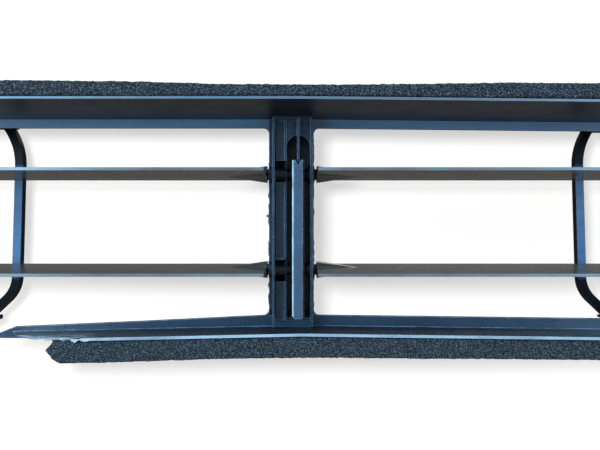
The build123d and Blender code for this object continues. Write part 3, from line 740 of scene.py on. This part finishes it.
# ---------------------------------------------------------------- dressing of the carried-over parts
@dataclass
class FrameDressing:
    """Gives each carried-over node its finish."""

    black: Colour = (0.006, 0.009, 0.013)
    black_pale: Colour = (0.016, 0.021, 0.026)
    grey_dust: Colour = (0.050, 0.062, 0.075)
    # last colour: painted blue sheen of the rails' front faces
    blue_sheen: Colour = (0.085, 0.160, 0.250)

    def finishes(self) -> dict[str, bpy.types.Material]:
        """Build every finish once.

        Returns:
            Material for each node name.
        """
        # each finish below may carry a painted blue sheen on its front faces, a painted highlight on its
        # front lip, and edges rubbed pale as wear and painted highlight
        rail = MouldedPlastic("rail_plastic", self.black, self.black_pale, self.grey_dust,
                              dust_amount=0.25, rough=(0.30, 0.48),
                              wear_and_highlight=(0.26, 0.34, 0.42), wear_and_highlight_amount=0.9, painted_sheen=self.blue_sheen,
                              lip=(0.105, 0.135, 0.155), lip_depth=AXIS_DEPTH - 43 * MM)
        torn = TornPlastic("torn_rail_plastic", self.black, self.black_pale, self.grey_dust,
                           dust_amount=0.3, rough=(0.24, 0.40),
                           wear_and_highlight=(0.42, 0.54, 0.64), wear_and_highlight_amount=1.0, edge=0.45 * MM,
                           painted_sheen=(0.024, 0.046, 0.072),
                           lip=(0.32, 0.41, 0.47), lip_depth=AXIS_DEPTH - 21 * MM)
        post = MouldedPlastic("post_plastic", (0.004, 0.009, 0.015), (0.012, 0.022, 0.034),
                              (0.060, 0.078, 0.095), dust_amount=0.3, rough=(0.20, 0.34),
                              wear_and_highlight=(0.24, 0.34, 0.42), wear_and_highlight_amount=1.0, edge=0.3 * MM,
                              painted_sheen=(0.020, 0.040, 0.060))
        bow = MouldedPlastic("bow_plastic", (0.005, 0.006, 0.007), (0.011, 0.012, 0.014),
                             (0.03, 0.032, 0.035), dust_amount=0.15, rough=(0.24, 0.38),
                             wear_and_highlight=(0.05, 0.06, 0.07), edge=0.5 * MM, specular=0.04,
                             painted_sheen=(0.13, 0.23, 0.36), sheen_height=33 * MM)
        vane = MouldedPlastic("vane_plastic", (0.050, 0.047, 0.040), (0.085, 0.081, 0.070),
                              (0.13, 0.124, 0.108), dust_amount=0.12, rough=(0.20, 0.36), grain=0.06,
                              wear_and_highlight=(0.20, 0.22, 0.23), wear_and_highlight_amount=0.6,
                              lip=(0.15, 0.185, 0.205), lip_depth=AXIS_DEPTH - 28 * MM)
        shaft = MouldedPlastic("shaft_plastic", (0.005, 0.006, 0.007), (0.010, 0.011, 0.013),
                               (0.03, 0.03, 0.03), dust_amount=0.2, wear_and_highlight=(0.04, 0.05, 0.06), edge=0.3 * MM)
        bar = BarPlastic("bar_plastic", (0.006, 0.010, 0.016), (0.014, 0.021, 0.031),
                         (0.05, 0.06, 0.07), dust_amount=0.2, rough=(0.24, 0.36),
                         wear_and_highlight=(0.38, 0.52, 0.60), wear_and_highlight_amount=1.0, edge=0.45 * MM,
                         painted_sheen=(0.056, 0.100, 0.150))
        case = MouldedPlastic("case_plastic", (0.009, 0.010, 0.012), (0.017, 0.019, 0.021),
                              (0.05, 0.053, 0.055), dust_amount=0.3, grain=0.6, edge=0.6 * MM)
        seal = MouldedPlastic("seal_rubber", (0.03, 0.024, 0.022), (0.045, 0.036, 0.03),
                              (0.09, 0.08, 0.07), dust_amount=0.2, rough=(0.6, 0.8))
        zinc = BareMetal("zinc_steel", (0.42, 0.43, 0.44), (0.27, 0.27, 0.28))
        steel = BareMetal("rolled_steel", (0.55, 0.56, 0.57), (0.38, 0.38, 0.38), (0.3, 0.5))
        brass = BareMetal("machined_brass", (0.62, 0.46, 0.2), (0.42, 0.3, 0.13))
        made = {key: item.build() for key, item in {
            "rail": rail, "torn": torn, "post": post, "bow": bow, "vane": vane, "shaft": shaft, "bar": bar,
            "case": case, "seal": seal, "zinc": zinc, "steel": steel, "brass": brass,
            "resin": PaleResin("gear_resin"),
            "bush": PaleResin("bush_resin", (0.5, 0.48, 0.43), (0.38, 0.35, 0.3)),
            "board": BoardMask("board_mask"),
        }.items()}
        groups = {
            "rail": ("top_rail", "end_post_left", "end_post_right"), "torn": ("bottom_rail",),
            "post": ("centre_post",), "bow": ("support_bow_left", "support_bow_right"),
            "vane": ("vane_upper_left", "vane_upper_right", "vane_lower_left", "vane_lower_right"),
            "shaft": ("crank_shaft_upper", "crank_shaft_lower"), "bar": ("link_bar",),
            "case": ("actuator_housing", "actuator_cover"), "seal": ("cover_seal",),
            "zinc": ("post_screws", "end_screws", "bow_screws", "cover_screws", "actuator_screws"),
            "steel": ("limiter_sleeves", "drive_motor", "gear_pins"),
            "brass": ("motor_pinion", "connector_terminals"),
            "resin": ("output_gear", "compound_gear_two", "compound_gear_one"), "bush": ("vane_bushes",),
            "board": ("circuit_board",),
        }
        return {node: made[key] for key, nodes in groups.items() for node in nodes}

    def build(self) -> None:
        """Assign the finishes to the nodes' material slots."""
        for name, material in self.finishes().items():
            node = frame["nodes"][name]
            node.data.materials.clear()
            node.data.materials.append(material)
            log.info("dressed %s in %s", name, material.name)


# ---------------------------------------------------------------- foam strips
@dataclass
class FoamStrip:
    """Detailed foam strip that stands for a plain one: a rough rounded bar with a wavy free edge.

    The section is a rounded rectangle. Its fixed side follows the leaning rail. Its thickness
    (swell) and the slant of its left end (left_cut) go by straight lines between a few places,
    in millimetres: along X for the one, and up the section from 0 to 1 for the other.
    """

    name: str
    node: str
    way: Way
    rail_z: float
    fall: tuple[float, float]
    swell: tuple[tuple[float, float], ...]
    step: float = 0.85 * MM
    around: int = 72
    squareness: int = 7
    rough: float = 0.26 * MM
    left_cut: tuple[tuple[float, float], ...] = ((0.0, 0.0), (1.0, 0.0))

    def section(self) -> tuple[np.ndarray, np.ndarray]:
        """Unit rounded rectangle; a high power of the angle's sine and cosine keeps its corners small.

        Returns:
            Y of each point from -1 to 1, and its height from 0 at the rail to 1 outside.
        """
        angle = np.linspace(0.0, 2.0 * np.pi, self.around, endpoint=False)
        wide = np.cos(angle)
        tall = np.sin(angle)
        power = self.squareness
        size = (np.abs(wide) ** power + np.abs(tall) ** power) ** (1.0 / power)
        return wide / size, (tall / size + 1.0) / 2.0

    def build(self, material: bpy.types.Material) -> bpy.types.Object:
        """Make the strip, roughen its skin and let it stand for its plain node.

        Args:
            material: foam finish.

        Returns:
            The new piece.
        """
        low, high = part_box(self.node)
        around = self.around
        rings = int((high.x - low.x) / self.step)
        deep, tall = self.section()
        along = np.linspace(0.0, 1.0, rings)[:, None]
        start = low.x + np.interp(tall, *np.array(self.left_cut).T)[None, :] * MM
        x = start + along * (high.x - start)
        fall = np.where(x < 0.0, self.fall[0] * x, -self.fall[1] * x)
        base = self.rail_z + fall
        swell = np.interp(x / MM, *np.array(self.swell).T) * MM
        z = base + self.way.value * swell * tall[None, :]
        middle, half = (low.y + high.y) / 2.0, (high.y - low.y) / 2.0
        y = middle + half * deep[None, :] * np.ones_like(x)
        points = np.stack([x, y, z], axis=-1).reshape(-1, 3)
        outward = np.stack([np.zeros(around), deep, (tall * 2.0 - 1.0) * self.way.value], axis=-1)
        outward = np.tile(outward / np.linalg.norm(outward, axis=1)[:, None], (rings, 1))
        free = np.tile(np.clip(tall * 1.6, 0.15, 1.0), rings)
        ripple = smooth_noise(points, 9.0 * MM, 3) * 0.07 * MM
        ripple += smooth_noise(points, 34.0 * MM, 5) * 0.14 * MM
        pits = layered_noise(points, 1.5 * MM, 3, 11)
        lift = (ripple + self.rough * pits - 0.12 * MM) * free
        points = points + outward * lift[:, None]
        points[:, 0] += smooth_noise(points, 2.5 * MM, 17) * 0.25 * MM
        points = np.clip(points, np.array(low) - 0.001 * MM, np.array(high) + 0.5 * MM)
        piece = closed_tube(self.name, points.reshape(rings, around, 3), material)
        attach(piece, "frame")
        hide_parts(self.node)
        return piece


# ---------------------------------------------------------------- small moulded details
@dataclass
class FlashFin:
    """Thin ragged fin of moulding flash along an upright edge of the post, with a nib if one is given."""

    name: str
    x: float
    side: float
    depth: float
    low: float
    high: float
    nib: float = 0.0
    nib_z: float = 3.4 * MM
    reach: float = 0.6 * MM
    thick: float = 0.5 * MM
    rows: int = 260
    taper: float = 4 * MM
    seed: int = 1

    def build(self, material: bpy.types.Material) -> bpy.types.Object:
        """Make the fin: a thin upright bar whose outer edge wanders with layered noise.

        Args:
            material: finish of the post.

        Returns:
            The new piece.
        """
        rows = self.rows
        z = np.linspace(self.low, self.high, rows)
        track = np.stack([np.full(rows, self.x), np.full(rows, self.depth), z], axis=-1)
        wander = 0.32 + 0.75 * layered_noise(track, 3.0 * MM, 5, self.seed)
        ends = np.clip((z - self.low) / self.taper, 0.05, 1.0)
        wander *= ends * np.clip((self.high - z) / self.taper, 0.05, 1.0)
        nib = self.nib * np.exp(-((z - self.nib_z) / (0.55 * MM)) ** 2)
        out = self.side * (np.clip(wander, 0.04, 1.0) * self.reach + nib)
        inner = self.x - self.side * 0.3 * MM
        rings = np.empty((rows, 4, 3))
        rings[:, :, 2] = z[:, None]
        rings[:, 0, 0] = rings[:, 1, 0] = inner
        rings[:, 2, 0] = rings[:, 3, 0] = self.x + out
        rings[:, 0, 1] = self.depth - self.thick / 2
        rings[:, 1, 1] = self.depth + self.thick / 2
        rings[:, 2, 1] = self.depth + self.thick * 0.2
        rings[:, 3, 1] = self.depth - self.thick * 0.2
        piece = closed_tube(self.name, rings, material, smooth=False)
        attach(piece, "frame")
        return piece


@dataclass
class TornFringe:
    """Whitened ragged fringe where the lower lip was torn: a thin sheet hanging off its edge.

    The torn edge goes by straight lines between places in millimetres, X and depth from the
    vane axes.
    """

    name: str = "torn_fringe"
    start: float = -140.0 * MM
    stop: float = -104.0 * MM
    lip_z: float = -58.6 * MM
    drop: float = 2.3 * MM
    rows: int = 240
    edge: tuple[tuple[float, float], ...] = (
        (-140, -15.6), (-134, -18.0), (-129, -17.4), (-121, -18.8), (-117, -20.6), (-104, -21.4))

    def build(self, material: bpy.types.Material) -> bpy.types.Object:
        """Make the fringe from rings along X, each as deep as layered noise says.

        Args:
            material: finish of torn plastic.

        Returns:
            The new piece.
        """
        rows = self.rows
        x = np.linspace(self.start, self.stop, rows)
        lip = AXIS_DEPTH + np.interp(x / MM, *np.array(self.edge).T) * MM
        top = self.lip_z + x * BOTTOM_FALL_LEFT - 0.2 * MM
        track = np.stack([x, lip, top], axis=-1)
        ragged = 0.50 + 0.9 * layered_noise(track, 3.2 * MM, 5, 23)
        ends = np.clip((x - self.start) / (5 * MM), 0.08, 1.0)
        ends *= np.clip((self.stop - x) / (14 * MM), 0.08, 1.0)
        deep = np.clip(ragged, 0.12, 1.1) * ends * self.drop
        sway = smooth_noise(track, 4.0 * MM, 31) * 0.35 * MM
        rings = np.empty((rows, 4, 3))
        rings[:, :, 0] = x[:, None]
        rings[:, 0, 1] = rings[:, 3, 1] = lip - 0.5 * MM
        rings[:, 1, 1] = rings[:, 2, 1] = lip + 0.1 * MM
        rings[:, 2, 1] += sway
        rings[:, 3, 1] += sway
        rings[:, 0, 2] = rings[:, 1, 2] = top
        rings[:, 2, 2] = rings[:, 3, 2] = top - deep
        piece = closed_tube(self.name, rings, material, smooth=False)
        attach(piece, "frame")
        return piece


# ---------------------------------------------------------------- studio
@dataclass
class Studio:
    """Camera, lights, backdrop, floor and surroundings."""

    camera_gap: float = 256.0 * MM
    lens: float = 27.0
    rise: float = -0.005
    sheet_gap: float = 84.0 * MM
    sheet_half: float = 1.2
    sheet_top: float = 1.0
    floor_z: float = -175.0 * MM
    floor_half: float = 8.0
    side_watts: float = 40.0
    key_watts: float = 1.6
    sky: Colour = (0.42, 0.70, 1.0)
    warm: Colour = (1.0, 0.97, 0.93)

    def camera(self) -> None:
        """Level camera in front of the middle of the vane axes."""
        data = bpy.data.cameras.new("camera")
        data.lens = self.lens
        data.sensor_width = 36.0
        data.shift_y = self.rise
        data.clip_start = 0.01
        holder = bpy.data.objects.new("camera", data)
        holder.location = (0.0, AXIS_DEPTH - self.camera_gap, 0.0)
        holder.rotation_euler = (math.radians(90.0), 0.0, 0.0)
        bpy.context.scene.collection.objects.link(holder)
        bpy.context.scene.camera = holder

    def area(self, name: str, spot: Colour, target: Colour, size: float, watts: float,
             colour: Colour) -> bpy.types.Object:
        """Square area light at a spot, turned towards a target.

        Args:
            name: name of the light.
            spot: its place in metres.
            target: the place it points at.
            size: length of its side in metres.
            watts: its power.
            colour: its colour.

        Returns:
            The light's object.
        """
        data = bpy.data.lights.new(name, "AREA")
        data.size = size
        data.energy = watts
        data.color = colour
        light = bpy.data.objects.new(name, data)
        light.location = spot
        aim = np.array(target) - np.array(spot)
        light.rotation_euler = Vector(aim.tolist()).to_track_quat("-Z", "Y").to_euler()
        bpy.context.scene.collection.objects.link(light)
        return light

    def lights(self) -> None:
        """Cool lights at both sides, warm ones above and behind, and a small one beside the camera.

        The small one lights the backdrop only, and casts the part's soft shadow on it. The two
        at the sides light neither the backdrop nor the floor.
        """
        front = AXIS_DEPTH - self.camera_gap
        left = self.area("left", (-1.15, -1.0, 0.34), (-0.10, 0.0, 0.34), 1.0, self.side_watts, self.sky)
        right = self.area("right", (1.25, -1.0, 0.34), (0.10, 0.0, 0.34), 1.0, self.side_watts * 0.6,
                          self.sky)
        self.area("above", (0.2, 0.40, 1.6), (0.0, 0.0, 0.0), 0.8, 7.0, self.warm)
        self.area("behind", (0.6, 1.1, 1.2), (0.0, 0.0, 0.0), 0.9, 9.0, self.warm)
        key = self.area("key", (-0.030, front - 0.01, 0.024), (0.0, 0.0, -0.02), 0.034, self.key_watts,
                        (1.0, 1.0, 1.0))
        for light, state in ((key, "INCLUDE"), (left, "EXCLUDE"), (right, "EXCLUDE")):
            group = bpy.data.collections.new(light.name + "_lights")
            for index, sheet in enumerate(("backdrop", "floor") if state == "EXCLUDE" else ("backdrop",)):
                group.objects.link(bpy.data.objects[sheet])
                group.collection_objects[index].light_linking.link_state = state
            light.light_linking.receiver_collection = group

    def plane(self, name: str, corners: np.ndarray, finish: StudioWhite) -> bpy.types.Object:
        """Flat staged sheet.

        Args:
            name: name of the sheet.
            corners: its four corners.
            finish: its finish.

        Returns:
            The new object.
        """
        piece = make_object(name, corners, [[0, 1, 2, 3]], smooth=False)
        piece.data.materials.append(finish.build())
        return piece

    def surroundings(self) -> bpy.types.World:
        """Dim warm room that gets paler overhead.

        Returns:
            The world.
        """
        world = bpy.data.worlds.new("surroundings")
        world.use_nodes = True
        nodes, links = world.node_tree.nodes, world.node_tree.links
        place = nodes.new("ShaderNodeTexCoord")
        split = nodes.new("ShaderNodeSeparateXYZ")
        ramp = nodes.new("ShaderNodeMapRange")
        for socket, number in zip(("From Min", "From Max", "To Min", "To Max"), (0.20, 0.75, 0.15, 0.50)):
            ramp.inputs[socket].default_value = number
        links.new(place.outputs["Generated"], split.inputs[0])
        links.new(split.outputs["Z"], ramp.inputs["Value"])
        links.new(ramp.outputs["Result"], nodes["Background"].inputs["Strength"])
        nodes["Background"].inputs["Color"].default_value = (1.0, 0.96, 0.91, 1.0)
        return world

    def build(self) -> None:
        """Set everything up."""
        self.camera()
        back, low, high, wide = AXIS_DEPTH + self.sheet_gap, self.floor_z, self.sheet_top, self.sheet_half
        sheet = np.array([[-wide, back, low], [wide, back, low], [wide, back, high], [-wide, back, high]])
        screen = self.plane("backdrop", sheet, StudioWhite("backdrop_white", True, (0.53, 0.53, 0.53)))
        screen.visible_glossy = False
        screen.visible_diffuse = False
        screen.visible_shadow = False
        wide = self.floor_half
        floor = np.array([[-wide, -wide, low], [wide, -wide, low], [wide, wide, low], [-wide, wide, low]])
        ground = self.plane("floor", floor, StudioWhite("floor_white", False, (0.42, 0.42, 0.42)))
        ground.visible_glossy = False
        self.lights()
        bpy.context.scene.world = self.surroundings()
        bpy.context.scene.view_settings.view_transform = "Standard"
        log.info("studio ready")


def main() -> None:
    """Build the studio, the finishes and the detailed pieces in order."""
    Studio().build()
    FrameDressing().build()
    foam = OpenFoam("open_foam").build()
    FoamStrip("foam_strip_top", "foam_seal_top", Way.TOP, 59.95 * MM, (0.0, TOP_FALL_RIGHT),
              ((-290, 8.9), (-130, 8.4), (-85, 7.8), (-62, 7.1), (-39, 6.6), (0, 6.1), (18, 6.4), (64, 7.3),
               (100, 8.2), (142, 8.3), (290, 8.5))).build(foam)
    FoamStrip("foam_strip_bottom", "foam_seal_bottom", Way.BOTTOM, -60.15 * MM,
              (BOTTOM_FALL_LEFT, BOTTOM_FALL_RIGHT),
              ((-134, 12.1), (-126, 12.4), (-43, 11.6), (0, 11.9), (20, 11.7), (160, 11.1), (288, 10.5)),
              left_cut=((0.0, 3.1), (0.12, 3.1), (0.36, 0.0), (0.75, 3.8), (1.0, 8.0))).build(foam)
    post = bpy.data.materials["post_plastic"]
    low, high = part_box("centre_post")
    face = AXIS_DEPTH + 0.4 * MM
    FlashFin("post_flash_left", low.x, -1.0, face, -50 * MM, 49 * MM, nib=1.7 * MM, seed=4).build(post)
    FlashFin("post_flash_right", high.x, 1.0, face, -50 * MM, 49 * MM, seed=9).build(post)
    torn = MouldedPlastic("torn_white", (0.26, 0.31, 0.34), (0.48, 0.52, 0.54), (0.60, 0.62, 0.63),
                          dust_amount=0.6, rough=(0.4, 0.7), wear_and_highlight=(0.5, 0.55, 0.58), wear_and_highlight_amount=0.8)
    TornFringe().build(torn.build())


if __name__ == "__main__":
    main()
